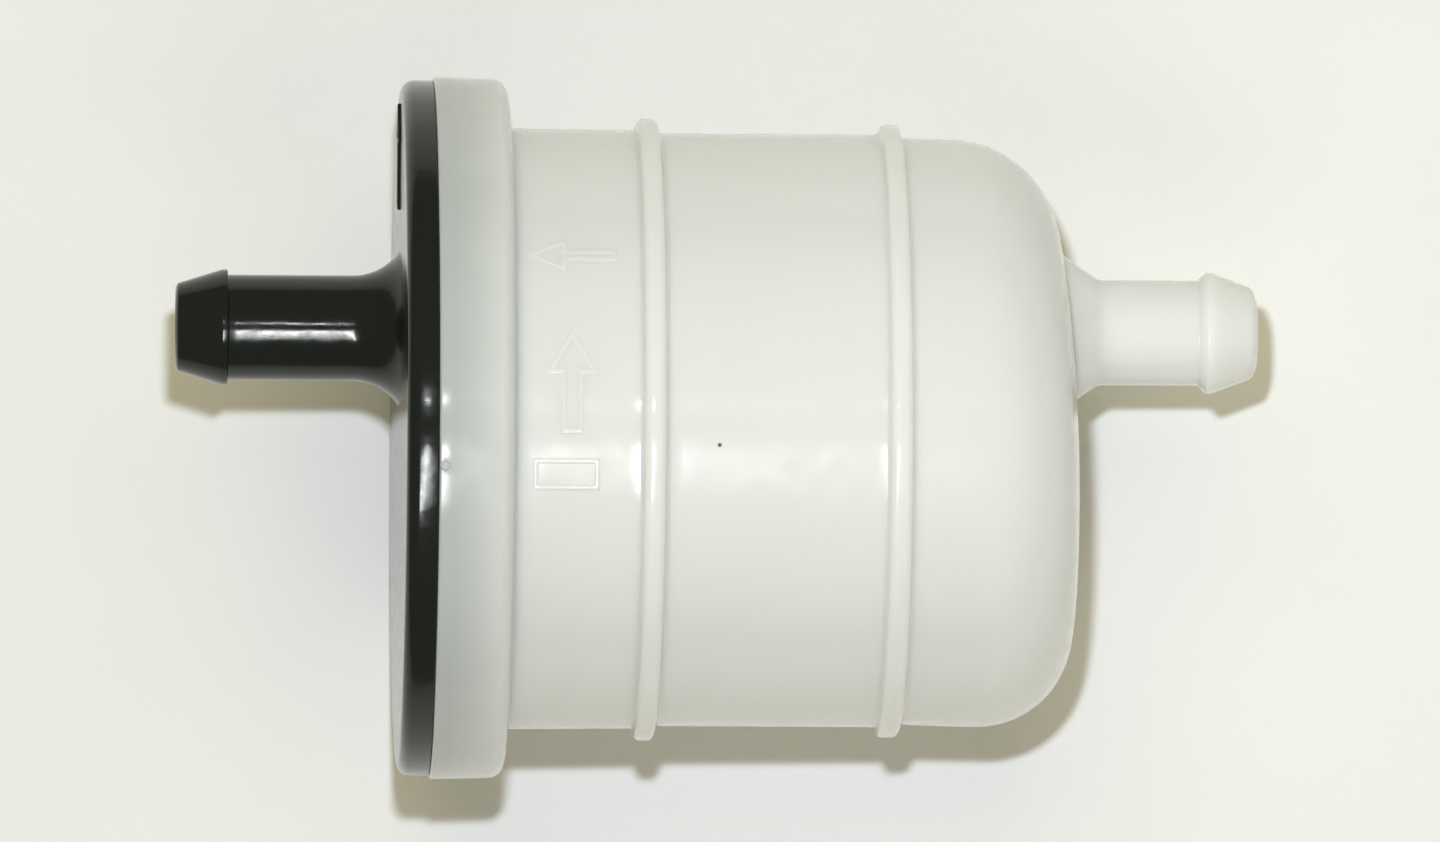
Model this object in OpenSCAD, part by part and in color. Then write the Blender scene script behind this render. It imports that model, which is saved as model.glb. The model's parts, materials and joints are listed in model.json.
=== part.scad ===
// In-line fuel filter: a white bowl with a black lid welded on, and a pleated paper element inside.
// The origin is on the barrel's axis, midway between its two ribs.
// +X runs along the barrel to the inlet barb, and +Y is the side marked to face up when fitted.
// Lengths named *_x run along the barrel from the joint between bowl and lid, towards the inlet.

/* [Barrel] */
// Radius of the barrel between its ribs, where a holder grips it
band_r = 22.3; // [21.5:0.1:23]
// Amount that each stretch beyond a rib is larger or smaller than the band
draft = 0.2; // [0.1:0.05:0.3]
// Thickness of the barrel's wall
wall = 1.9; // [1.6:0.1:2]
// Distance from the joint to the middle of the rib nearest the lid
first_rib_x = 16.1; // [15:0.1:18]
// Distance between the middles of the two ribs
rib_spacing = 18.3; // [16:0.1:20]
// Radius of each rib's half-round bead
rib_r = 0.85; // [0.6:0.05:1]

/* [Domed end] */
// Distance from the joint to the middle of the domed end's outer face
dome_x = 48.6; // [48:0.1:50]
// Radius of the corner between barrel and end face
dome_corner_r = 7.6; // [7:0.1:8]
// Radius of the crowned end face
crown_r = 130; // [100:5:200]
// Lean of the domed end towards +Y, in degrees
dome_lean = 2; // [0:0.5:2]
// Thickness of the end wall in the middle
end_wall = 2.7; // [2.2:0.1:3]

/* [Flange] */
// Radius of the flange at the joint
flange_r = 26.4; // [26:0.1:27]
// Thickness of the flange
flange_t = 5.6; // [5:0.1:6]
// Depth of the socket in the flange that takes the lid
socket_depth = 3.2; // [3:0.1:3.4]
// Radius of that socket
socket_r = 24.4; // [24:0.1:24.6]
// Rounding of the flange's far corner
flange_corner_r = 1.2; // [0.8:0.1:1.6]

/* [Lid] */
// Radius of the lid's disc
lid_r = 26.15; // [25.8:0.05:26.3]
// Thickness of the disc
lid_t = 2.4; // [2:0.1:3]
// Rounding of the disc's outer edge
lid_corner_r = 1; // [0.6:0.1:1.2]
// Thickness of the skirt that plugs into the socket
skirt_t = 2; // [1.5:0.1:2.4]

/* [Barbs] */
// Distance of both barbs from the barrel's axis
barb_offset = 7.5; // [6.5:0.1:7.8]
// Radius of the barbs' straight tubes
barb_r = 3.95; // [3.8:0.05:4.1]
// Radius of the fuel passage
passage_r = 2.5; // [2:0.1:2.6]

/* [Element] */
// Outer radius of the end caps
cap_r = 19.2; // [18.9:0.1:19.3]
// Height of the end caps' rims
cap_rim = 3; // [2:0.5:4]
// Radius of the clear space inside the core
core_inner_r = 10.6; // [10.4:0.1:10.8]
// Number of pleats
pleats = 32; // [24:1:36]
// Thickness of the filter paper
paper_t = 0.5; // [0.3:0.05:0.6]

/* [Raised marks] */
// Height of the raised marks
mark_h = 0.22; // [0.15:0.01:0.3]
// Width of the lines that draw them
line_w = 0.4; // [0.3:0.05:0.5]

/* [Hidden] */

// Bowl
second_rib_x = first_rib_x + rib_spacing;
lean_pivot_x = second_rib_x + 3.5;
joint_x = -(first_rib_x + second_rib_x) / 2;
flange_side_r = band_r + draft;
dome_side_r = band_r - draft;
hollow_r = band_r - wall;
crown_drop = crown_r - sqrt(pow(crown_r, 2) - pow(dome_side_r - dome_corner_r, 2));
dome_corner_x = dome_x - crown_drop - dome_corner_r;
hollow_end_x = dome_x - end_wall;
hollow_corner_r = dome_corner_r - 2;
flange_draft = 0.15;
overlap = 0.5;

// Outlet barb, on the lid. Its sizes run outwards from the joint, so they are subtracted.
outlet_flare_r = 4.2;
outlet_flare_x = 5.9;
outlet_flare_angle = 56;
outlet_crest_x = 15.3;
outlet_tip_x = 19.2;
outlet_crest_r = barb_r + 0.4;
outlet_tip_r = 3.25;
outlet_tip_chamfer = 0.2;
outlet_root_r = 6;

// Inlet barb, on the bowl
inlet_flare_x = 50.2;
inlet_flare_angle = 35;
inlet_crest_x = 58.3;
inlet_tip_x = 62.4;
inlet_crest_r = barb_r + 0.6;
inlet_tip_r = 3.35;
tip_round_r = 1.1;
crest_land = 0.4;

// Raised marks. Each stands at a distance from the joint and an angle up from +Z.
flow_arrow_x = 7.4;
flow_arrow_angle = 37;
up_arrow_x = 11;
up_arrow_angle = 19;
bar_x = 10.6;
bar_angle = -8.5;
bar_size = [5, 2.4];
nib_w = 0.7;
nib_h = 0.9;
nib_angle = -6;
lid_arrow_y = 24.4;

// Element. Its pieces stand against each other in this order, away from the lid.
seal_t = 1.5;
seal_r = 14.2;
cap_t = 1.1;
cap_wall = 0.8;
adhesive_t = 1.2;
core_wall = 0.8;
core_r = core_inner_r + core_wall;
open_cap_floor_x = seal_t + cap_t;
closed_cap_floor_x = 39.4;
pleat_inner_r = core_r + 0.25;
pleat_outer_r = cap_r - cap_wall - 0.15;
seam_gap = 0.9;
seam_setback = 1.1;
clip_t = 0.3;
clip_reach = 3.2;

// Points of a circular arc, from angle a to angle b
function arc(centre, r, a, b, steps = 8) =
    [for (i = [0:steps]) centre + r * [cos(a + (b - a) * i / steps), sin(a + (b - a) * i / steps)]];

// Turns an outline of [radius, distance from the joint] about the X axis, off-centre by offset_y
module turned(offset_y = 0) {
    translate([joint_x, offset_y, 0])
        rotate([0, 90, 0])
            rotate_extrude($fn = 96)
                children();
}

// Plain ring between two radii and two distances from the joint
module ring(inner_r, outer_r, from_x, to_x) {
    turned()
        translate([inner_r, from_x])
            square([outer_r - inner_r, to_x - from_x]);
}

// Straight round passage through a barb
module passage(from_x, to_x) {
    translate([joint_x + from_x, barb_offset, 0])
        rotate([0, 90, 0])
            cylinder(r = passage_r, h = to_x - from_x, $fn = 48);
}

// Raised line between two points
module stroke(p, q) {
    run = q - p;
    translate(p)
        rotate(atan2(run[1], run[0]))
            translate([-line_w / 2, -line_w / 2])
                square([norm(run) + line_w, line_w]);
}

// Raised closed outline through a list of points
module outline(points) {
    for (i = [0:len(points) - 1])
        stroke(points[i], points[(i + 1) % len(points)]);
}

// Outline of an arrow that points along +Y, with its tip at the origin
module arrow(length, head, head_w, shaft_w) {
    outline([
        [0, 0], [head_w / 2, -head], [shaft_w / 2, -head], [shaft_w / 2, -length],
        [-shaft_w / 2, -length], [-shaft_w / 2, -head], [-head_w / 2, -head]
    ]);
}

// Lays a flat mark on the barrel, at a distance from the joint and an angle up from +Z
module on_barrel(x, angle) {
    intersection() {
        translate([joint_x + x, 0, 0])
            rotate([-angle, 0, 0])
                linear_extrude(flange_r)
                    children();
        turned() square([flange_side_r + mark_h, first_rib_x]);
    }
}

// Half of a barrel section in [radius, distance] form: flange, barrel and ribs
module barrel_outline() {
    flange_corner = flange_r - flange_draft - flange_corner_r;
    polygon([
        [0, 0], [flange_r, 0], [flange_r - flange_draft, flange_t - flange_corner_r],
        [flange_corner, flange_t], [0, flange_t]
    ]);
    translate([flange_corner, flange_t - flange_corner_r])
        circle(r = flange_corner_r, $fn = 48);
    polygon([
        [0, 0], [flange_side_r + draft / 2, 0], [flange_side_r, first_rib_x], [0, first_rib_x]
    ]);
    translate([0, first_rib_x])
        square([band_r, rib_spacing]);
    translate([band_r + draft / 2, first_rib_x])
        circle(r = rib_r, $fn = 48);
    translate([band_r - draft / 2, second_rib_x])
        circle(r = rib_r, $fn = 48);
}

// Half of the domed end's section. It starts inside the second rib.
module dome_outline() {
    intersection() {
        union() {
            translate([0, second_rib_x - overlap])
                square([dome_side_r, dome_corner_x - second_rib_x + overlap]);
            translate([0, dome_corner_x - overlap])
                square([dome_side_r - dome_corner_r, dome_corner_r + crown_drop + 2 * overlap]);
            translate([dome_side_r - dome_corner_r, dome_corner_x])
                circle(r = dome_corner_r, $fn = 96);
        }
        translate([0, dome_x - crown_r])
            circle(r = crown_r, $fn = 200);
        square([dome_side_r, dome_x + 1]);
    }
}

// Half of the inlet barb's section
module inlet_outline() {
    tip_centre = [inlet_tip_r - tip_round_r, inlet_tip_x - tip_round_r];
    root_x = hollow_end_x + overlap;
    root_r = barb_r + (inlet_flare_x - root_x) * tan(inlet_flare_angle);
    crest_h = inlet_crest_r - barb_r;
    polygon(concat(
        [[0, root_x], [root_r, root_x], [barb_r, inlet_flare_x]],
        [[barb_r, inlet_crest_x - crest_h], [inlet_crest_r, inlet_crest_x]],
        [[inlet_crest_r, inlet_crest_x + crest_land], [inlet_tip_r, inlet_tip_x - tip_round_r]],
        arc(tip_centre, tip_round_r, 15, 90, 4),
        [[0, inlet_tip_x]]
    ));
}

// Half of the outlet barb's section, measured outwards from the joint
module outlet_outline() {
    root_x = lid_t - overlap;
    flare_centre = [barb_r + outlet_flare_r, outlet_flare_x];
    polygon(concat(
        [[0, root_x], [outlet_root_r, root_x]],
        arc(flare_centre, outlet_flare_r, 180 + outlet_flare_angle, 180),
        [[barb_r, outlet_crest_x], [outlet_crest_r, outlet_crest_x]],
        [[outlet_crest_r, outlet_crest_x + crest_land]],
        [[outlet_tip_r, outlet_tip_x - outlet_tip_chamfer]],
        [[outlet_tip_r - outlet_tip_chamfer, outlet_tip_x], [0, outlet_tip_x]]
    ));
}

// Inside of the bowl: the socket for the lid and the chamber for the element
module hollow() {
    hollow_corner_x = hollow_end_x - hollow_corner_r;
    turned() {
        translate([0, -1])
            square([socket_r, socket_depth + 1]);
        square([hollow_r, hollow_corner_x]);
        square([hollow_r - hollow_corner_r, hollow_end_x]);
        intersection() {
            translate([hollow_r - hollow_corner_r, hollow_corner_x])
                circle(r = hollow_corner_r, $fn = 64);
            square([hollow_r, hollow_end_x]);
        }
    }
}

// White housing in one moulding
module bowl() {
    color([0.88, 0.89, 0.87])
    difference() {
        union() {
            turned() barrel_outline();
            translate([joint_x + lean_pivot_x, 0, 0])
                rotate([0, 0, dome_lean])
                    translate([-joint_x - lean_pivot_x, 0, 0])
                        turned() dome_outline();
            turned(barb_offset) inlet_outline();
            // Flow arrow, pointing at the lid
            on_barrel(flow_arrow_x, flow_arrow_angle)
                rotate(90)
                    arrow(7, 3.3, 3, 0.8);
            // Arrow to the side that faces up, over a plain bar
            on_barrel(up_arrow_x, up_arrow_angle)
                arrow(7.7, 3.3, 4, 1.5);
            on_barrel(bar_x, bar_angle)
                outline([
                    -bar_size / 2, [bar_size[0], -bar_size[1]] / 2,
                    bar_size / 2, [-bar_size[0], bar_size[1]] / 2
                ]);
            // Nib at the joint line
            rotate([-nib_angle, 0, 0])
                translate([joint_x + nib_w, 0, flange_r - nib_h / 3])
                    rotate(45)
                        cube([nib_w, nib_w, nib_h], center = true);
        }
        hollow();
        passage(hollow_end_x - 1, inlet_tip_x + 1);
    }
}

// Black lid with the outlet barb
module lid() {
    skirt_r = socket_r - 0.05;
    edge = lid_r - lid_corner_r;
    color([0.08, 0.085, 0.09])
    difference() {
        union() {
            mirror([1, 0, 0])
                translate([-2 * joint_x, 0, 0]) {
                    turned() {
                        square([edge, lid_t]);
                        square([lid_r, lid_t - lid_corner_r]);
                        translate([edge, lid_t - lid_corner_r])
                            circle(r = lid_corner_r, $fn = 48);
                    }
                    turned(barb_offset) outlet_outline();
                }
            ring(skirt_r - skirt_t, skirt_r, -1, socket_depth - 0.1);
            // Fence that centres the seal
            ring(seal_r + 0.2, seal_r + 1.2, -1, seal_t - 0.2);
            // Arrow on the outer face, to the side that faces up
            translate([joint_x - lid_t - mark_h, lid_arrow_y, 0])
                rotate([0, 90, 0])
                    linear_extrude(1)
                        arrow(8, 3, 4, 1.6);
        }
        passage(-outlet_tip_x - 1, 1);
    }
}

// Flat rubber washer between the lid and the element
module lid_seal() {
    color([0.15, 0.15, 0.15])
    ring(core_inner_r, seal_r, 0, seal_t);
}

// Ring-shaped end cap of the element
module open_end_cap() {
    color([0.75, 0.75, 0.7])
    union() {
        ring(core_inner_r, cap_r, seal_t, open_cap_floor_x);
        ring(cap_r - cap_wall, cap_r, seal_t, open_cap_floor_x + cap_rim);
    }
}

// Closed end cap, with feet that stand on the bowl's end wall
module closed_end_cap() {
    color([0.75, 0.75, 0.7])
    union() {
        ring(0, cap_r, closed_cap_floor_x, closed_cap_floor_x + cap_t);
        ring(cap_r - cap_wall, cap_r, closed_cap_floor_x - cap_rim, closed_cap_floor_x + cap_t);
        for (a = [45:90:315])
            rotate([a, 0, 0])
                translate([joint_x + closed_cap_floor_x, 9, -0.6])
                    cube([hollow_end_x - closed_cap_floor_x, 5, 1.2]);
    }
}

// Moulded cage inside the pleats: hoops joined by straight bars that are thinner than the hoops
module core() {
    hoops = 7;
    bars = 8;
    hoop_w = 1.6;
    bar_w = 2.4;
    inset = 0.15;
    spacing = (closed_cap_floor_x - open_cap_floor_x - hoop_w) / (hoops - 1);
    bar_from_x = open_cap_floor_x + hoop_w / 2;
    bar_to_x = closed_cap_floor_x - hoop_w / 2;
    color([0.8, 0.8, 0.76])
    union() {
        for (i = [0:hoops - 1])
            ring(core_inner_r, core_r, open_cap_floor_x + i * spacing,
                open_cap_floor_x + i * spacing + hoop_w);
        for (i = [0:bars - 1])
            rotate([i * 360 / bars, 0, 0])
                intersection() {
                    ring(core_inner_r + inset, core_r - inset, bar_from_x, bar_to_x);
                    translate([joint_x + open_cap_floor_x, -bar_w / 2, 0])
                        cube([closed_cap_floor_x - open_cap_floor_x, bar_w, core_r + 1]);
                }
    }
}

// Ring of potting adhesive in each end cap
module adhesive(from_x) {
    color([0.7, 0.42, 0.2])
    ring(core_r, cap_r - cap_wall, from_x, from_x + adhesive_t);
}

module lid_side_adhesive() {
    adhesive(open_cap_floor_x);
}

module dome_side_adhesive() {
    adhesive(closed_cap_floor_x - adhesive_t);
}

// Middle of the paper at each fold: even folds are outside, odd ones inside. The strip starts and
// ends at the seam, which is at angle 0.
function fold(i) =
    let (angle = i * 180 / pleats)
    i == 0 ? [pleat_outer_r - seam_setback, seam_gap / 2]
    : i == 2 * pleats ? [pleat_outer_r - seam_setback, -seam_gap / 2]
    : (i % 2 == 0 ? pleat_outer_r - paper_t / 2 : pleat_inner_r + paper_t / 2)
        * [cos(angle), sin(angle)];

// Offset of half the paper's thickness to the left of the leg from fold i to fold j
function half_paper(i, j) =
    let (run = (fold(j) - fold(i)) / norm(fold(j) - fold(i)))
    paper_t / 2 * [-run[1], run[0]];

// The paper's corner inside a sharp fold, where the two offset legs meet
function inner_corner(i, side) =
    let (both = half_paper(i - 1, i) + half_paper(i, i + 1))
    fold(i) + side * both * pow(paper_t, 2) / 2 / (both * both);

// The paper's corners at fold i on one side: 1 is towards the axis and -1 is away from it
function corners(i, side) =
    i == 0 ? [fold(0) + side * half_paper(0, 1)]
    : i == 2 * pleats ? [fold(i) + side * half_paper(i - 1, i)]
    : (i % 2 == 0) == (side == 1) ? [inner_corner(i, side)]
    : [fold(i) + side * half_paper(i - 1, i), fold(i) + side * half_paper(i, i + 1)];

// One strip of filter paper, folded into pleats and bent into a ring
module paper_element() {
    length = closed_cap_floor_x - open_cap_floor_x - 2 * adhesive_t;
    away = [for (i = [0:2 * pleats]) each corners(i, -1)];
    towards = [for (i = [0:2 * pleats]) each corners(i, 1)];
    color([0.82, 0.74, 0.55])
    translate([joint_x + open_cap_floor_x + adhesive_t, 0, 0])
        rotate([90, 0, 90])
            linear_extrude(length)
                polygon(concat(away, [for (i = [len(towards) - 1:-1:0]) towards[i]]));
}

// Folded metal strip that pinches the two ends of the paper together
module seam_clip() {
    length = closed_cap_floor_x - open_cap_floor_x - 2 * cap_rim - 0.4;
    half = seam_gap / 2 + paper_t / 2 + clip_t + 0.35;
    color([0.75, 0.76, 0.78])
    translate([joint_x + open_cap_floor_x + cap_rim + 0.2, 0, 0])
        rotate([90, 0, 90])
            linear_extrude(length)
                translate([pleat_outer_r - clip_reach, 0])
                    difference() {
                        translate([0, -half])
                            square([clip_reach, 2 * half]);
                        translate([-1, clip_t - half])
                            square([clip_reach + 1 - clip_t, 2 * (half - clip_t)]);
                    }
}

bowl();
lid();
lid_seal();
open_end_cap();
paper_element();
seam_clip();
core();
lid_side_adhesive();
dome_side_adhesive();
closed_end_cap();
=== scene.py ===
"""In-line fuel filter: a milky bowl with a welded black lid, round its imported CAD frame."""

import json
import math

import bmesh
import bpy
from bpy.props import FloatProperty, FloatVectorProperty, IntProperty, PointerProperty
from mathutils import Matrix, Vector


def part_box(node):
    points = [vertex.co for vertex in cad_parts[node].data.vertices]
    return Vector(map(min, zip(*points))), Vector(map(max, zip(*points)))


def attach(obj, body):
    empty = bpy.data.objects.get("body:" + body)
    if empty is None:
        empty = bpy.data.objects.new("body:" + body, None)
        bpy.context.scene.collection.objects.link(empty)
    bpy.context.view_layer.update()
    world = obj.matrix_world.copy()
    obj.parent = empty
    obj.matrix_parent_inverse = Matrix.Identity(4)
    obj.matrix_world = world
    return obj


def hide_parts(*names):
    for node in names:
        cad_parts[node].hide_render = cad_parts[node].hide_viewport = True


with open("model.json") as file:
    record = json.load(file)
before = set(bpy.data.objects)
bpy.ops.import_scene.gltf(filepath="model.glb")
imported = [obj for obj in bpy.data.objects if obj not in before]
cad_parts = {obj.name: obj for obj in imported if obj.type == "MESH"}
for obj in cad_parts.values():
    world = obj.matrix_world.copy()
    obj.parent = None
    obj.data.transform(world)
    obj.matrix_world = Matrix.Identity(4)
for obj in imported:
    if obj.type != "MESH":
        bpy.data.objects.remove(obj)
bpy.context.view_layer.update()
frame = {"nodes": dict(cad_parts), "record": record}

bl_info = {
    "name": "In-line Fuel Filter",
    "version": (1, 0, 0),
    "blender": (4, 5, 0),
    "location": "View3D > Sidebar > Fuel Filter",
    "description": "Builds an in-line fuel filter around its CAD frame",
    "category": "Add Mesh",
}

MM = 0.001

# The CAD box, and the places that the pieces share with the CAD frame
MOUNTS = {mount["name"]: mount for mount in frame["record"]["mounts"]}
JOINT_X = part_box("bowl")[0][0]
INLET_TIP_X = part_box("bowl")[1][0]
OUTLET_TIP_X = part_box("lid")[0][0]
FLANGE_R = -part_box("bowl")[0][2]
LID_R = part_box("lid")[1][2]
BAND_R = MOUNTS["holder_band"]["dims"]["r_mm"] * MM
BAND_LENGTH = MOUNTS["holder_band"]["dims"]["length_mm"] * MM
BARB_Y = MOUNTS["inlet_barb"]["pos_m"][1]
INLET_CREST_X = MOUNTS["inlet_barb"]["pos_m"][0]
INLET_CREST_R = MOUNTS["inlet_barb"]["dims"]["r_mm"] * MM
OUTLET_CREST_X = MOUNTS["outlet_barb"]["pos_m"][0]
OUTLET_CREST_R = MOUNTS["outlet_barb"]["dims"]["r_mm"] * MM
CREST_HALF = MOUNTS["inlet_barb"]["dims"]["length_mm"] * MM / 2
RIB_REACH = 0.845 * MM  # from the band's end to the middle of a rib
RIB_X = BAND_LENGTH / 2 + RIB_REACH

# The rib by the domed end came out of the mould lower than the other
FAR_RIB_SHARE = 0.85
INLET_CONE = math.radians(35)
OUTLET_FLARE = math.radians(58)
OUTLET_FLARE_STEPS = 10

# Raised marks: how far along from the joint, and how far up round the barrel
FLOW_ARROW = (6.3 * MM, math.radians(35))
UP_ARROW = (9.9 * MM, math.radians(19))
BAR = (9.5 * MM, math.radians(-8.5))
NIB = (0.4 * MM, math.radians(-6))
MARK_LINE = 0.42 * MM
MARK_SUNK = 0.3 * MM  # how deep the marks start below the surface, so that they join it
LID_ARROW_Y = 24.4 * MM

# A speck of dirt in the white nylon
SPECK = (-0.0044, -0.0011, 0.0223)


def length(name, description, default_mm):
    """A size in the sidebar, in Blender's length unit."""
    return FloatProperty(name=name, description=description, default=default_mm * MM,
                         min=0, unit="LENGTH", precision=5)


def colour(name, description, default):
    """A colour in the sidebar, as linear values."""
    return FloatVectorProperty(name=name, description=description, default=default,
                               size=3, min=0, max=1, subtype="COLOR")


class BowlSizes(bpy.types.PropertyGroup):
    """Sizes of the white bowl."""

    flange_t: length("Flange", "Thickness of the flange", 5.6)
    socket_r: length("Socket radius", "Radius of the socket that takes the lid", 24.4)
    socket_depth: length("Socket depth", "Depth of the socket that takes the lid", 3.2)
    hollow_r: length("Hollow radius", "Radius of the chamber for the element", 20.4)
    draft: length("Draft", "Step in radius from one stretch of barrel to the next", 0.2)
    rib_h: length("Rib height", "Height of the ribs round the barrel", 0.9)
    rib_half_w: length("Rib half width", "Half the width of a rib at its foot", 0.95)
    dome_corner_r: length("Dome corner", "Radius between barrel and end face", 7.6)
    dome_x: length("Dome", "Distance from the joint to the middle of the end face", 48.6)
    crown_r: length("Crown", "Radius of the crowned end face", 130)
    end_wall: length("End wall", "Thickness of the end wall in the middle", 2.7)
    side_lean: FloatProperty(name="Side lean", description="Lean of the domed end's sides",
                             default=math.radians(1.5), unit="ROTATION")
    face_lean: FloatProperty(name="Face lean", description="Lean of the domed end's face",
                             default=math.radians(2.2), unit="ROTATION")
    turns: IntProperty(name="Facets", description="Facets round the barrel", default=192, min=48)


class BarbSizes(bpy.types.PropertyGroup):
    """Sizes of both hose barbs."""

    tube_r: length("Tube", "Radius of the straight tubes that the hoses grip", 3.95)
    passage_r: length("Passage", "Radius of the fuel passage", 2.5)
    inlet_tube: length("Inlet tube", "Length of the inlet from its cone to its crest", 8.1)
    outlet_tube: length("Outlet tube", "Length of the outlet from its flare to its crest", 9.4)
    outlet_flare: length("Outlet flare", "Radius of the outlet's hollow flare", 4.2)
    inlet_tip_r: length("Inlet tip", "Radius of the inlet's tip", 3.4)
    outlet_tip_r: length("Outlet tip", "Radius of the outlet's tip", 3.25)
    turns: IntProperty(name="Facets", description="Facets round a barb", default=96, min=24)


class LidSizes(bpy.types.PropertyGroup):
    """Sizes of the black lid."""

    disc_t: length("Disc", "Thickness of the disc", 2.4)
    corner_r: length("Edge", "Rounding of the disc's outer edge", 1.0)
    skirt_t: length("Skirt", "Thickness of the skirt that plugs into the bowl", 2.0)


class FilterColours(bpy.types.PropertyGroup):
    """Colours of the plastics and of the stage."""

    barrel: colour("Barrel", "Milky nylon with an open chamber behind it", (0.79, 0.80, 0.77))
    # Painted shade: the flange's darker, bluer colour stands in for the black skirt behind the milky
    # wall taking up the light that passes through it
    flange_painted_shade: colour("Flange", "Milky nylon with the black skirt behind it", (0.49, 0.52, 0.505))
    black: colour("Black", "Moulded black nylon", (0.009, 0.0115, 0.0095))
    floor: colour("Floor", "The pale table", (0.84, 0.84, 0.81))


def sizes(group):
    """The scene's own copy of one of the groups above."""
    return getattr(bpy.context.scene, group)


# ---- Mesh helpers ----

def blended(corners, steps=6):
    """Points along a path of (x, r, round) corners, with an arc of radius round at each corner."""
    points = []
    for i, (x, r, radius) in enumerate(corners):
        here = Vector((x, r))
        if radius == 0:
            points.append(here)
            continue
        back = (Vector(corners[i - 1][:2]) - here).normalized()
        ahead = (Vector(corners[i + 1][:2]) - here).normalized()
        half = back.angle(ahead) / 2
        centre = here + (back + ahead).normalized() * radius / math.sin(half)
        start = here + back * radius / math.tan(half) - centre
        end = here + ahead * radius / math.tan(half) - centre
        turn = start.angle(end)
        for k in range(steps + 1):
            t = k / steps
            spoke = start * math.sin((1 - t) * turn) + end * math.sin(t * turn)
            points.append(centre + spoke / math.sin(turn))
    return points


def spaced(points, longest):
    """The same path, with extra points so that no stretch is longer than longest."""
    path = [points[0]]
    for p, q in zip(points, points[1:]):
        pieces = max(1, math.ceil((q - p).length / longest))
        path += [p.lerp(q, k / pieces) for k in range(1, pieces + 1)]
    return path


def turned(path, turns, axis_y=0.0):
    """A bmesh of the path of (x, r) points, turned about a line along X."""
    bm = bmesh.new()
    verts = [bm.verts.new((x, axis_y + r, 0)) for x, r in path]
    edges = [bm.edges.new(pair) for pair in zip(verts, verts[1:])]
    bmesh.ops.spin(bm, geom=verts + edges, cent=(0, axis_y, 0), axis=(1, 0, 0), dvec=(0, 0, 0),
                   angle=math.tau, steps=turns, use_merge=True, use_duplicate=False)
    bmesh.ops.remove_doubles(bm, verts=bm.verts[:], dist=1e-7)
    bmesh.ops.recalc_face_normals(bm, faces=bm.faces[:])
    return bm


def take_in(bm, other):
    """Adds another bmesh to this one and frees it."""
    mesh = bpy.data.meshes.new("part")
    other.to_mesh(mesh)
    other.free()
    bm.from_mesh(mesh)
    bpy.data.meshes.remove(mesh)


def raised_outline(points, line_w, height, place, grid=0.0004):
    """A closed raised line round the flat points. place puts a (u, v, height) point in space."""
    bm = bmesh.new()
    face = bm.faces.new([bm.verts.new((u, v, 0)) for u, v in points])
    face.normal_update()
    if face.normal.z < 0:
        face.normal_flip()
    bmesh.ops.inset_region(bm, faces=[face], thickness=line_w, use_boundary=True,
                           use_even_offset=True)
    bmesh.ops.delete(bm, geom=[face], context="FACES_ONLY")
    top = bmesh.ops.extrude_face_region(bm, geom=bm.faces[:], use_keep_orig=True)
    lifted = [g for g in top["geom"] if isinstance(g, bmesh.types.BMVert)]
    bmesh.ops.translate(bm, verts=lifted, vec=(0, 0, height))
    bmesh.ops.recalc_face_normals(bm, faces=bm.faces[:])
    rim = [e for e in bm.edges if all(v in lifted for v in e.verts)
           and abs(e.calc_face_angle(0)) > 1]
    bmesh.ops.bevel(bm, geom=rim, offset=line_w * 0.22, segments=2, profile=0.5,
                    affect="EDGES", material=-1)
    for axis in (0, 1):
        low = min(v.co[axis] for v in bm.verts)
        high = max(v.co[axis] for v in bm.verts)
        normal = Vector((axis == 0, axis == 1, 0))
        for k in range(1, math.ceil((high - low) / grid)):
            bmesh.ops.bisect_plane(bm, geom=bm.verts[:] + bm.edges[:] + bm.faces[:],
                                   plane_co=normal * (low + k * grid), plane_no=normal)
    for vert in bm.verts:
        vert.co = place(vert.co)
    bmesh.ops.recalc_face_normals(bm, faces=bm.faces[:])
    return bm


def nib(centre, size, turn):
    """A small rough-edged wedge of plastic, left where the mould closed."""
    bm = bmesh.new()
    bmesh.ops.create_cube(bm, size=1)
    bmesh.ops.scale(bm, verts=bm.verts[:], vec=size)
    bmesh.ops.bevel(bm, geom=bm.edges[:], offset=min(size) * 0.25, segments=2, profile=0.5,
                    affect="EDGES", material=-1)
    bmesh.ops.rotate(bm, verts=bm.verts[:], cent=(0, 0, 0), matrix=turn)
    bmesh.ops.translate(bm, verts=bm.verts[:], vec=centre)
    return bm


def arrow(run, head, head_w, shaft_w):
    """Outline of an arrow that points along +v, with its tip at the origin."""
    return [(0, 0), (-head_w / 2, -head), (-shaft_w / 2, -head), (-shaft_w / 2, -run),
            (shaft_w / 2, -run), (shaft_w / 2, -head), (head_w / 2, -head)]


def add_object(name, bm):
    """A finished object with the bmesh's geometry."""
    mesh = bpy.data.meshes.new(name)
    bm.to_mesh(mesh)
    bm.free()
    obj = bpy.data.objects.new(name, mesh)
    bpy.context.scene.collection.objects.link(obj)
    return obj


def combine(obj, bm, operation):
    """Joins a closed bmesh to the object, or cuts it away."""
    tool = add_object("tool", bm)
    modifier = obj.modifiers.new("combine", "BOOLEAN")
    modifier.operation = operation
    modifier.solver = "EXACT"
    modifier.object = tool
    graph = bpy.context.evaluated_depsgraph_get()
    mesh = bpy.data.meshes.new_from_object(obj.evaluated_get(graph))
    obj.modifiers.clear()
    old = obj.data
    obj.data = mesh
    bpy.data.meshes.remove(old)
    bpy.data.objects.remove(tool)


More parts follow.
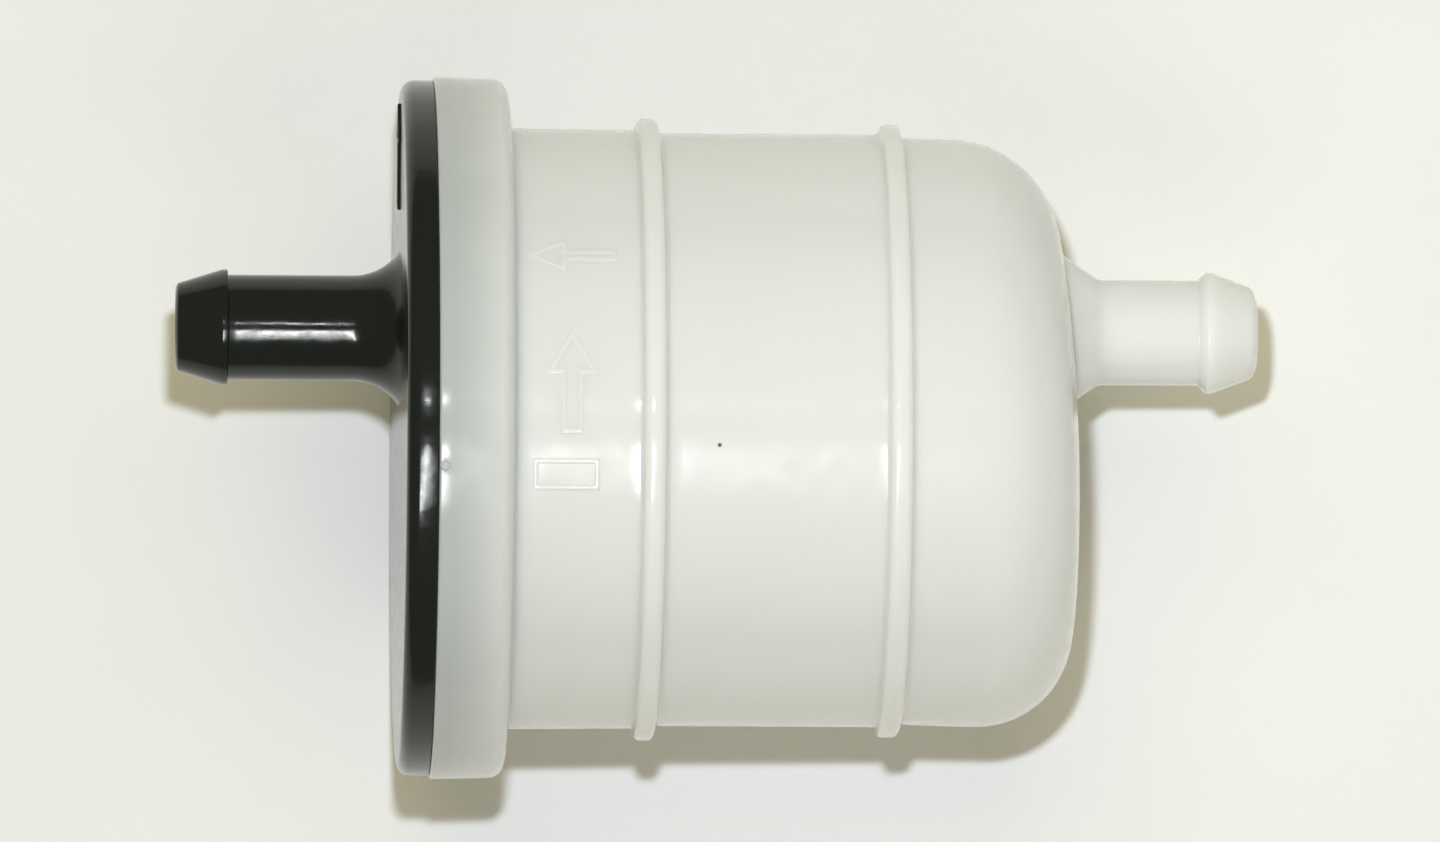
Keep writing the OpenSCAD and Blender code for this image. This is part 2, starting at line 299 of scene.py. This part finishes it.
def smooth_off(obj, crease=math.radians(32)):
    """Smooth shading, with edges sharper than crease kept crisp."""
    bm = bmesh.new()
    bm.from_mesh(obj.data)
    bmesh.ops.remove_doubles(bm, verts=bm.verts[:], dist=2e-6)
    bmesh.ops.dissolve_degenerate(bm, edges=bm.edges[:], dist=1e-6)
    for face in bm.faces:
        face.smooth = True
    for edge in bm.edges:
        edge.smooth = len(edge.link_faces) == 2 and edge.calc_face_angle(0) < crease
    bm.to_mesh(obj.data)
    bm.free()


# ---- Material helpers ----

class Nodes:
    """Short calls for building one material's nodes."""

    def __init__(self, name):
        self.material = bpy.data.materials.new(name)
        self.material.use_nodes = True
        self.tree = self.material.node_tree
        self.shader = self.tree.nodes["Principled BSDF"]
        self.place = self.add("ShaderNodeTexCoord").outputs["Object"]

    def add(self, kind, links=(), **settings):
        """A new node, with its settings, and its inputs linked or set by name or number."""
        node = self.tree.nodes.new(kind)
        for key, value in settings.items():
            setattr(node, key, value)
        for key, value in dict(links).items():
            if isinstance(value, bpy.types.NodeSocket):
                self.tree.links.new(value, node.inputs[key])
            else:
                node.inputs[key].default_value = value
        return node

    def noise(self, scale, detail=3.0, roughness=0.5, stretch=(1, 1, 1)):
        """Noise over the object's own place, stretched along its axes."""
        mapping = self.add("ShaderNodeMapping", {"Vector": self.place, "Scale": stretch})
        return self.add("ShaderNodeTexNoise", {
            "Vector": mapping.outputs[0], "Scale": scale, "Detail": detail,
            "Roughness": roughness}).outputs["Fac"]

    def spread(self, value, low, high, to_low=0.0, to_high=1.0):
        """Maps the stretch from low to high onto another stretch."""
        return self.add("ShaderNodeMapRange", {
            "Value": value, "From Min": low, "From Max": high,
            "To Min": to_low, "To Max": to_high}).outputs[0]

    def maths(self, operation, a, b):
        """One sum on two values."""
        return self.add("ShaderNodeMath", {0: a, 1: b}, operation=operation).outputs[0]

    def mix(self, factor, a, b):
        """One colour mixed with another."""
        node = self.add("ShaderNodeMix", data_type="RGBA")
        for index, value in ((0, factor), (6, a), (7, b)):
            if isinstance(value, bpy.types.NodeSocket):
                self.tree.links.new(value, node.inputs[index])
            elif index == 0:
                node.inputs[index].default_value = value
            else:
                node.inputs[index].default_value = (*value[:3], 1)
        return node.outputs[2]

    def ramp(self, value, stops):
        """Colours at places from 0 to 1."""
        node = self.add("ShaderNodeValToRGB", {"Fac": value})
        points = node.color_ramp.elements
        while len(points) < len(stops):
            points.new(1)
        for point, (position, shade) in zip(points, stops):
            point.position = position
            point.color = (*shade, 1)
        return node.outputs["Color"]

    def bump(self, height, strength, distance, under=None):
        """A bump over the one under it."""
        links = {"Height": height, "Strength": strength, "Distance": distance}
        if under is not None:
            links["Normal"] = under
        return self.add("ShaderNodeBump", links).outputs[0]

    def finish(self, **inputs):
        """Sets or links the shader's inputs, with _ standing for a space."""
        for key, value in inputs.items():
            socket = self.shader.inputs[key.replace("_", " ")]
            if isinstance(value, bpy.types.NodeSocket):
                self.tree.links.new(value, socket)
            else:
                socket.default_value = value
        return self.material


def milky_nylon():
    """White nylon: milky and softly glossy, with painted shade along its length: darker and bluer
    over the flange where the black skirt shows through, and a little darker on the barrel next to the
    flange.
    """
    look = sizes("filter_colours")
    n = Nodes("milky_nylon")
    x = n.add("ShaderNodeSeparateXYZ", {0: n.place}).outputs["X"]
    wander = n.spread(n.noise(120, 2), 0, 1, -0.0003, 0.0003)
    along = n.spread(n.maths("ADD", x, wander), JOINT_X, INLET_TIP_X)
    run = INLET_TIP_X - JOINT_X
    barrel = Vector(look.barrel)
    painted_skirt_shade = Vector(look.flange_painted_shade)

    def shade(share):
        return tuple(painted_skirt_shade.lerp(barrel, share))

    # Painted shade along the axis: darkest over the flange, where the black skirt behind the wall
    # would take up light, easing back to the full barrel colour 28 mm from the joint, and standing in
    # for shade near the flange
    painted_shade_along = n.ramp(along, [
        (0.0, shade(0.10)), (1.0 * MM / run, shade(0.0)), (2.4 * MM / run, shade(0.15)),
        (4.0 * MM / run, shade(0.42)), (5.6 * MM / run, shade(0.52)),
        (6.4 * MM / run, shade(0.80)), (12 * MM / run, shade(0.90)), (28 * MM / run, shade(1.0))])
    cloud = n.spread(n.noise(150, 3, 0.5), 0.3, 0.7, 0.0, 0.12)
    cloudy = n.mix(cloud, painted_shade_along, (0.72, 0.76, 0.74))
    apart = n.add("ShaderNodeVectorMath", {0: n.place, 1: SPECK}, operation="DISTANCE")
    speck = n.spread(apart.outputs["Value"], 0.0001, 0.0002, 1.0, 0.0)
    base = n.mix(speck, cloudy, (0.08, 0.05, 0.03))
    ripple = n.bump(n.noise(300, 2), 0.05, 0.3 * MM)
    grain = n.bump(n.noise(3000, 2), 0.03, 0.015 * MM, ripple)
    rough = n.spread(n.noise(700, 4), 0.3, 0.7, 0.10, 0.15)
    return n.finish(Base_Color=base, Roughness=rough, Normal=grain, IOR=1.53,
                    Subsurface_Weight=1.0, Subsurface_Radius=(1.0, 1.0, 0.9),
                    Subsurface_Scale=2.4 * MM)


def black_nylon():
    """Black nylon, moulded glossy, with slight waves and fine scuffs."""
    look = sizes("filter_colours")
    n = Nodes("black_nylon")
    dust = n.spread(n.noise(2600, 5, 0.7), 0.62, 0.75)
    base = n.mix(n.maths("MULTIPLY", dust, 0.35), look.black, (0.03, 0.032, 0.03))
    wave = n.bump(n.noise(420, 2), 0.10, 0.3 * MM)
    scuff = n.bump(n.noise(2500, 4, 0.6, (0.2, 1, 1)), 0.08, 0.03 * MM, wave)
    rough = n.spread(n.noise(900, 4), 0.3, 0.75, 0.10, 0.20)
    return n.finish(Base_Color=base, Roughness=rough, Normal=scuff, IOR=1.43)


def filter_paper():
    """Resin-treated filter paper, with fibres and a fine tooth."""
    n = Nodes("filter_paper")
    fibres = n.noise(3000, 5, 0.7, (1, 1, 0.3))
    base = n.ramp(fibres, [(0.3, (0.52, 0.40, 0.22)), (0.55, (0.68, 0.56, 0.35)),
                           (0.75, (0.76, 0.66, 0.45))])
    tooth = n.bump(n.noise(4200, 6, 0.75), 0.4, 0.08 * MM)
    return n.finish(Base_Color=base, Roughness=0.85, Normal=tooth)


def dull_plastic(name, shade):
    """Plain moulded plastic inside the filter, in one shade."""
    n = Nodes(name)
    clouds = n.spread(n.noise(300, 4), 0.3, 0.7)
    darker = tuple(0.82 * c for c in shade)
    base = n.mix(clouds, darker, shade)
    sand = n.bump(n.noise(3800, 3), 0.15, 0.05 * MM)
    rough = n.spread(n.noise(800, 3), 0.3, 0.7, 0.42, 0.6)
    return n.finish(Base_Color=base, Roughness=rough, Normal=sand, IOR=1.5)


def plastisol():
    """Cured potting adhesive: amber brown, slightly glossy, with small sinks."""
    n = Nodes("plastisol")
    pools = n.noise(380, 4)
    base = n.ramp(pools, [(0.35, (0.36, 0.14, 0.04)), (0.65, (0.55, 0.25, 0.08))])
    sinks = n.bump(pools, 0.35, 0.3 * MM)
    return n.finish(Base_Color=base, Roughness=0.38, Normal=sinks)


def seal_rubber():
    """Black rubber with a dusty bloom."""
    n = Nodes("seal_rubber")
    bloom = n.spread(n.noise(500, 5, 0.65), 0.4, 0.75)
    base = n.mix(bloom, (0.018, 0.018, 0.018), (0.05, 0.05, 0.048))
    skin = n.bump(n.noise(3500, 4), 0.2, 0.05 * MM)
    return n.finish(Base_Color=base, Roughness=0.7, Normal=skin)


def tinned_steel():
    """Thin tinned steel strip, drawn along its length."""
    n = Nodes("tinned_steel")
    drawn = n.noise(2400, 4, 0.6, (0.05, 1, 1))
    base = n.ramp(drawn, [(0.3, (0.50, 0.50, 0.49)), (0.7, (0.72, 0.72, 0.70))])
    rough = n.spread(drawn, 0.3, 0.7, 0.25, 0.42)
    lines = n.bump(drawn, 0.15, 0.03 * MM)
    return n.finish(Base_Color=base, Metallic=1.0, Roughness=rough, Normal=lines)


def table_top():
    """Pale table with a faint mottle."""
    look = sizes("filter_colours")
    n = Nodes("table_top")
    mottle = n.spread(n.noise(90, 6, 0.7), 0.3, 0.7)
    warm = tuple(0.985 * c for c in look.floor)
    base = n.mix(mottle, warm, look.floor)
    tooth = n.bump(n.noise(1400, 5, 0.6, (1, 0.4, 1)), 0.25, 0.12 * MM)
    return n.finish(Base_Color=base, Roughness=0.6, Normal=tooth)


def dress(obj, material):
    """Gives the object one material and no other."""
    obj.data.materials.clear()
    obj.data.materials.append(material)


def settle(obj, node):
    """The object stands for a CAD node and rides on its body."""
    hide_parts(node)
    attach(obj, "root")


# ---- Pieces ----

def rib(x, base_r, next_r, height, half_w):
    """Corners of a round bead across the barrel."""
    return [(x - half_w, base_r, 0.25 * MM), (x - 0.68 * half_w, base_r + height, 0.62 * height),
            (x + 0.68 * half_w, base_r + height, 0.62 * height), (x + half_w, next_r, 0.25 * MM)]


def bowl_outside(s):
    """Path along the bowl's outside, from the socket's mouth to the middle of the domed end."""
    flange_end = JOINT_X + s.flange_t
    dome = JOINT_X + s.dome_x

    def crown(r):
        return dome - r * r / (2 * s.crown_r)

    first_r = BAND_R + s.draft
    last_r = BAND_R - s.draft
    path = blended(
        [(JOINT_X, s.socket_r, 0), (JOINT_X, FLANGE_R, 0.18 * MM),
         (flange_end, FLANGE_R - 0.15 * MM, 1.2 * MM), (flange_end, first_r + 0.1 * MM, 0.4 * MM)]
        + rib(-RIB_X, first_r, BAND_R, s.rib_h, s.rib_half_w)
        + rib(RIB_X, BAND_R, last_r, FAR_RIB_SHARE * s.rib_h, s.rib_half_w)
        + [(crown(last_r), last_r, s.dome_corner_r), (crown(14 * MM), 14 * MM, 0)], 10)
    return path + [Vector((crown(r * MM), r * MM)) for r in range(13, -1, -1)]


def bowl_inside(s):
    """Path along the bowl's inside, from the middle of the end wall to the socket's mouth."""
    end = JOINT_X + s.dome_x - s.end_wall
    floor = JOINT_X + s.socket_depth
    return blended([
        (end, 0, 0), (end, s.hollow_r, s.dome_corner_r - 2 * MM), (floor, s.hollow_r, 0.3 * MM),
        (floor, s.socket_r, 0.15 * MM), (JOINT_X, s.socket_r, 0)])


def lean_dome(bm, s):
    """Leans the domed end as it shrank in the mould: its sides sink and its face looks up."""
    run = s.dome_x + JOINT_X - s.dome_corner_r - RIB_X
    for vert in bm.verts:
        past = vert.co.x - RIB_X
        if past > 0:
            vert.co.x -= vert.co.y * math.tan(s.face_lean) * min(1, past / run)
            vert.co.y -= past * math.tan(s.side_lean)


def inlet_path(s, b):
    """Path along the outside of the inlet barb, from inside the end wall to its tip."""
    root = JOINT_X + s.dome_x - s.end_wall / 2
    crest = INLET_CREST_X - CREST_HALF
    step = INLET_CREST_R - b.tube_r
    tube = crest - b.inlet_tube
    cone_r = b.tube_r + (tube - root) * math.tan(INLET_CONE)
    return blended([
        (root, 0, 0), (root, cone_r, 0), (tube, b.tube_r, 1.2 * MM),
        (crest - step, b.tube_r, 0.25 * MM), (crest, INLET_CREST_R, 0.15 * MM),
        (crest + 2 * CREST_HALF, INLET_CREST_R, 0.3 * MM),
        (INLET_TIP_X - 0.55 * MM, b.inlet_tip_r, 0.7 * MM),
        (INLET_TIP_X, b.inlet_tip_r - 1.5 * MM, 0.5 * MM), (INLET_TIP_X, 0, 0)])


def outlet_path(s, b):
    """Path along the outside of the outlet barb, from inside the lid's disc to its tip."""
    root = JOINT_X - s.disc_t / 2
    crest = OUTLET_CREST_X + CREST_HALF
    tube = crest + b.outlet_tube
    flare = [Vector((tube + b.outlet_flare * math.sin(a),
                     b.tube_r + b.outlet_flare * (1 - math.cos(a))))
             for a in (OUTLET_FLARE * (1 - k / OUTLET_FLARE_STEPS)
                       for k in range(OUTLET_FLARE_STEPS + 1))]
    tip = blended([
        (tube, b.tube_r, 0), (crest, b.tube_r, 0.08 * MM), (crest, OUTLET_CREST_R, 0.06 * MM),
        (crest - 2 * CREST_HALF, OUTLET_CREST_R, 0.12 * MM),
        (OUTLET_TIP_X + 0.15 * MM, b.outlet_tip_r + 0.05 * MM, 0.12 * MM),
        (OUTLET_TIP_X, b.outlet_tip_r - 0.25 * MM, 0.15 * MM), (OUTLET_TIP_X, 0, 0)])
    return [Vector((root, 0)), Vector((root, flare[0].y + 0.1 * MM))] + flare + tip[1:]


def passage(mouth_x, inner_x, radius, turns):
    """Cutter for a fuel passage, with a softened edge at its mouth."""
    out = 1 if mouth_x > inner_x else -1
    path = [(inner_x, 0), (inner_x, radius), (mouth_x - out * 0.3 * MM, radius),
            (mouth_x - out * 0.08 * MM, radius + 0.08 * MM), (mouth_x, radius + 0.28 * MM),
            (mouth_x + out * MM, radius + 0.28 * MM), (mouth_x + out * MM, 0)]
    return turned(spaced([Vector(p) for p in path], 1.0 * MM), turns, BARB_Y)


def on_barrel(x, angle, base_r):
    """Place that wraps a flat mark round the barrel. v runs up towards +Y."""
    def place(point):
        turn = angle + point.y / base_r
        r = base_r + point.z
        return Vector((x + point.x, r * math.sin(turn), r * math.cos(turn)))
    return place


class FILTER_OT_bowl(bpy.types.Operator):
    """Makes the white bowl, with its ribs, domed end, inlet barb and raised marks."""

    bl_idname = "filter.make_bowl"
    bl_label = "Bowl"

    def execute(self, context):
        s = sizes("bowl_sizes")
        b = sizes("barb_sizes")
        bm = turned(spaced(bowl_outside(s), 1.0 * MM), s.turns)
        lean_dome(bm, s)
        take_in(bm, turned(spaced(bowl_inside(s), 2.0 * MM), s.turns))
        bmesh.ops.remove_doubles(bm, verts=bm.verts[:], dist=1e-6)
        bmesh.ops.recalc_face_normals(bm, faces=bm.faces[:])
        bowl = add_object("white_bowl", bm)
        combine(bowl, turned(spaced(inlet_path(s, b), 0.6 * MM), b.turns, BARB_Y), "UNION")
        inside = JOINT_X + s.dome_x - s.end_wall - MM
        combine(bowl, passage(INLET_TIP_X, inside, b.passage_r, b.turns), "DIFFERENCE")
        base_r = BAND_R + s.draft - MARK_SUNK
        height = MARK_SUNK + 0.16 * MM
        flow = [(-v, u) for u, v in arrow(7 * MM, 3.3 * MM, 3 * MM, 1.0 * MM)]
        up = arrow(7.7 * MM, 3.3 * MM, 4 * MM, 1.7 * MM)
        bar = [(-2.5 * MM, -1.2 * MM), (2.5 * MM, -1.2 * MM), (2.5 * MM, 1.2 * MM),
               (-2.5 * MM, 1.2 * MM)]
        marks = bmesh.new()
        for outline, (along, angle) in ((flow, FLOW_ARROW), (up, UP_ARROW), (bar, BAR)):
            take_in(marks, raised_outline(
                outline, MARK_LINE, height, on_barrel(JOINT_X + along, angle, base_r)))
        along, angle = NIB
        rim_r = FLANGE_R - 0.2 * MM
        take_in(marks, nib(
            (JOINT_X + along, rim_r * math.sin(angle), rim_r * math.cos(angle)),
            (0.7 * MM, 0.7 * MM, 0.78 * MM), Matrix.Rotation(math.radians(45), 3, "Z")))
        combine(bowl, marks, "UNION")
        smooth_off(bowl)
        dress(bowl, milky_nylon())
        settle(bowl, "bowl")
        return {"FINISHED"}


class FILTER_OT_lid(bpy.types.Operator):
    """Makes the black lid, with its outlet barb, plug skirt and raised arrow."""

    bl_idname = "filter.make_lid"
    bl_label = "Lid"

    def execute(self, context):
        s = sizes("lid_sizes")
        bowl = sizes("bowl_sizes")
        b = sizes("barb_sizes")
        face = JOINT_X - s.disc_t
        skirt_r = bowl.socket_r - 0.05 * MM
        skirt_end = JOINT_X + bowl.socket_depth - 0.1 * MM
        fence_r = 14.4 * MM
        fence_end = JOINT_X + 1.3 * MM
        path = blended([
            (face, 0, 0), (face, LID_R, s.corner_r), (JOINT_X, LID_R, 0.15 * MM),
            (JOINT_X, skirt_r, 0.1 * MM), (skirt_end, skirt_r, 0.3 * MM),
            (skirt_end, skirt_r - s.skirt_t, 0.3 * MM), (JOINT_X, skirt_r - s.skirt_t, 0.4 * MM),
            (JOINT_X, fence_r + MM, 0.2 * MM), (fence_end, fence_r + MM, 0.15 * MM),
            (fence_end, fence_r, 0.15 * MM), (JOINT_X, fence_r, 0.1 * MM), (JOINT_X, 0, 0)], 8)
        lid = add_object("black_lid", turned(spaced(path, 1.0 * MM), bowl.turns))
        combine(lid, turned(spaced(outlet_path(s, b), 0.6 * MM), b.turns, BARB_Y), "UNION")
        combine(lid, passage(OUTLET_TIP_X, JOINT_X + MM, b.passage_r, b.turns), "DIFFERENCE")

        def on_face(point):
            return Vector((face + MARK_SUNK - point.z, LID_ARROW_Y + point.y, point.x))

        marks = raised_outline(arrow(8 * MM, 3 * MM, 4.4 * MM, 1.8 * MM), MARK_LINE,
                               MARK_SUNK + 0.22 * MM, on_face)
        take_in(marks, nib(
            (OUTLET_CREST_X + CREST_HALF + 0.4 * MM, BARB_Y - b.tube_r, 0),
            (0.8 * MM, 0.35 * MM, 1.2 * MM), Matrix.Rotation(math.radians(-7), 3, "Z")))
        combine(lid, marks, "UNION")
        smooth_off(lid)
        dress(lid, black_nylon())
        settle(lid, "lid")
        return {"FINISHED"}


class FILTER_OT_element(bpy.types.Operator):
    """Gives the element's own pieces, which stay as the CAD made them, their materials."""

    bl_idname = "filter.dress_element"
    bl_label = "Element"

    def execute(self, context):
        caps = dull_plastic("cap_plastic", (0.55, 0.55, 0.50))
        cage = dull_plastic("core_plastic", (0.66, 0.66, 0.62))
        glue = plastisol()
        for node, material in (
                ("lid_seal", seal_rubber()), ("open_end_cap", caps), ("closed_end_cap", caps),
                ("paper_element", filter_paper()), ("seam_clip", tinned_steel()),
                ("core", cage), ("lid_side_adhesive", glue), ("dome_side_adhesive", glue)):
            dress(frame["nodes"][node], material)
        return {"FINISHED"}


class FILTER_OT_stage(bpy.types.Operator):
    """Sets the table, the lights and the camera."""

    bl_idname = "filter.set_stage"
    bl_label = "Stage"

    def execute(self, context):
        s = sizes("bowl_sizes")
        scene = context.scene
        rest_low = Vector((JOINT_X + s.flange_t - MM, 0, -FLANGE_R + 0.1 * MM))
        rest_high = Vector((RIB_X, 0, -(BAND_R + s.rib_h)))
        tilt = math.atan2(rest_high.z - rest_low.z, rest_high.x - rest_low.x)
        bm = bmesh.new()
        bmesh.ops.create_grid(bm, x_segments=8, y_segments=8, size=1.5)
        bmesh.ops.rotate(bm, verts=bm.verts[:], cent=(0, 0, 0),
                         matrix=Matrix.Rotation(-tilt, 3, "Y"))
        bmesh.ops.translate(bm, verts=bm.verts[:], vec=rest_low - Vector((0, 0, 0.1 * MM)))
        floor = add_object("table", bm)
        dress(floor, table_top())

        world = bpy.data.worlds.new("room")
        world.use_nodes = True
        sky = world.node_tree.nodes["Background"]
        sky.inputs["Color"].default_value = (1.0, 0.93, 0.70, 1)
        sky.inputs["Strength"].default_value = 0.19
        scene.world = world
        scene.view_settings.view_transform = "Standard"

        def lamp(name, place, power, shade, size, size_y, mirrored=False):
            """A lamp aimed at the object that lights it, or is only mirrored in its gloss."""
            data = bpy.data.lights.new(name, "AREA")
            data.shape = "RECTANGLE"
            data.energy = power
            data.color = shade
            data.size = size
            data.size_y = size_y
            light = bpy.data.objects.new(name, data)
            light.location = place
            light.rotation_euler = (-Vector(place)).to_track_quat("-Z", "Y").to_euler()
            light.visible_glossy = mirrored
            light.visible_diffuse = not mirrored
            scene.collection.objects.link(light)

        lamp("flash", (-0.038, 0.056, 0.62), 2.75, (0.80, 0.85, 1.0), 0.020, 0.014)
        lamp("room_lamp", (-0.08, 0.45, 0.78), 2.1, (1.0, 0.93, 0.52), 0.60, 0.60)
        lamp("fill", (0.0, -0.45, 0.60), 1.1, (1.0, 0.92, 0.68), 0.50, 0.30)
        lamp("glint", (-0.024, 0.100, 0.62), 0.10, (0.95, 0.98, 1.0), 0.018, 0.008, True)
        lamp("window", (-0.046, -0.185, 0.63), 1.3, (0.95, 0.98, 1.0), 0.018, 0.240, True)
        lamp("side_window", (-0.011, -0.185, 0.63), 0.16, (0.95, 0.98, 1.0), 0.007, 0.180, True)

        distance = 1.5
        lean = math.radians(2.4)
        roll = math.radians(0.35)
        aim = Vector((-3.46 * MM, 0.68 * MM, 0))
        camera = bpy.data.objects.new("camera", bpy.data.cameras.new("camera"))
        camera.data.lens = 332.4 * distance  # keeps the object's size in view at any distance
        camera.data.sensor_width = 36
        turn = Matrix.Rotation(-lean, 3, "Y") @ Matrix.Rotation(roll, 3, "Z")
        camera.location = aim + turn @ Vector((0, 0, distance))
        camera.rotation_euler = turn.to_euler()
        camera.data.clip_end = 10
        scene.collection.objects.link(camera)
        scene.camera = camera
        return {"FINISHED"}


class FILTER_PT_panel(bpy.types.Panel):
    """Lists what builds the fuel filter."""

    bl_label = "Fuel Filter"
    bl_idname = "FILTER_PT_panel"
    bl_space_type = "VIEW_3D"
    bl_region_type = "UI"
    bl_category = "Fuel Filter"

    def draw(self, context):
        for group in GROUPS:
            settings = getattr(context.scene, group)
            for name in settings.bl_rna.properties.keys():
                if name not in ("rna_type", "name"):
                    self.layout.prop(settings, name)
        for operator in OPERATORS:
            self.layout.operator(operator.bl_idname)


GROUPS = {"bowl_sizes": BowlSizes, "barb_sizes": BarbSizes, "lid_sizes": LidSizes,
          "filter_colours": FilterColours}
OPERATORS = (FILTER_OT_stage, FILTER_OT_bowl, FILTER_OT_lid, FILTER_OT_element)
CLASSES = (*GROUPS.values(), *OPERATORS, FILTER_PT_panel)


def register():
    for cls in CLASSES:
        bpy.utils.register_class(cls)
    for name, group in GROUPS.items():
        setattr(bpy.types.Scene, name, PointerProperty(type=group))


def unregister():
    for name in GROUPS:
        delattr(bpy.types.Scene, name)
    for cls in reversed(CLASSES):
        bpy.utils.unregister_class(cls)


def main():
    register()
    bpy.ops.filter.set_stage()
    bpy.ops.filter.make_bowl()
    bpy.ops.filter.make_lid()
    bpy.ops.filter.dress_element()


if __name__ == "__main__":
    main()
